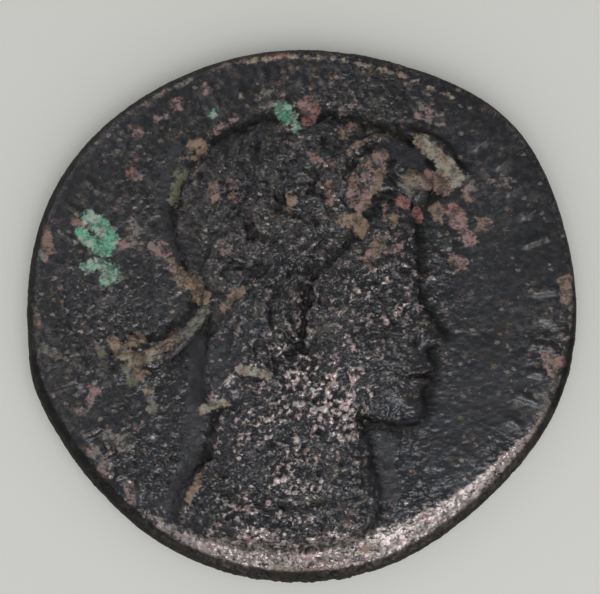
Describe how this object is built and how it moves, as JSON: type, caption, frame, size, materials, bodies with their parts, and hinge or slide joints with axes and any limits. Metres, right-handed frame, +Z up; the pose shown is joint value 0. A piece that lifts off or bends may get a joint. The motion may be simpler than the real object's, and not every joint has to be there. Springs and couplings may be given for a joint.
{
  "type": "roman bronze coin",
  "caption": "Worn struck bronze coin with a laureate portrait in low relief on one face and a wreath round rows of strokes on the other; lies flat.",
  "frame": {"origin": "centre of the box round the coin, on the level rim of the reverse that it lies on", "axes": "+X across the portrait towards the way it faces, +Y towards its crown, +Z up out of the portrait side"},
  "size_m": [0.026, 0.0252, 0.003],
  "materials": {
    "patinated_bronze": "dark grey-black patina, granular, with brown, red and green corrosion spots"
  },
  "bodies": {
    "root": {"coin": "patinated_bronze"}
  },
  "joints": []
}
